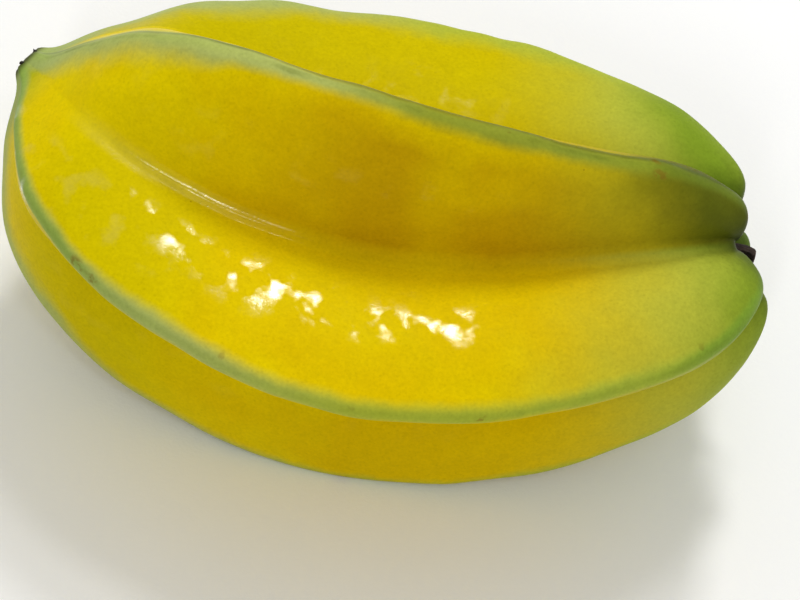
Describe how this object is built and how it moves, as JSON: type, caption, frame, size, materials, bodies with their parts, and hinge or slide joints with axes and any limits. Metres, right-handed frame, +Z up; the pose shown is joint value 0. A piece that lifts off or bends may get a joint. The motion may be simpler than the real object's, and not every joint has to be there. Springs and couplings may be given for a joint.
{
  "type": "star fruit",
  "caption": "Whole ripe carambola with long sharp ribs round a bent axis, a blunt beak at the blossom end and a short dry stem stub in a pit; lies on its lower ribs.",
  "frame": {"origin": "on the ground, under the middle of the fruit's box", "axes": "+Z up, X along the fruit with the blossom end at -X and the stem end at +X"},
  "size_m": [0.1228, 0.0742, 0.07],
  "materials": {
    "skin": "glossy waxy yellow skin, green along the rib edges and at both ends",
    "stem": "dry dark brown stem stub"
  },
  "bodies": {
    "root": {"fruit": "skin", "stem": "stem"}
  },
  "joints": []
}
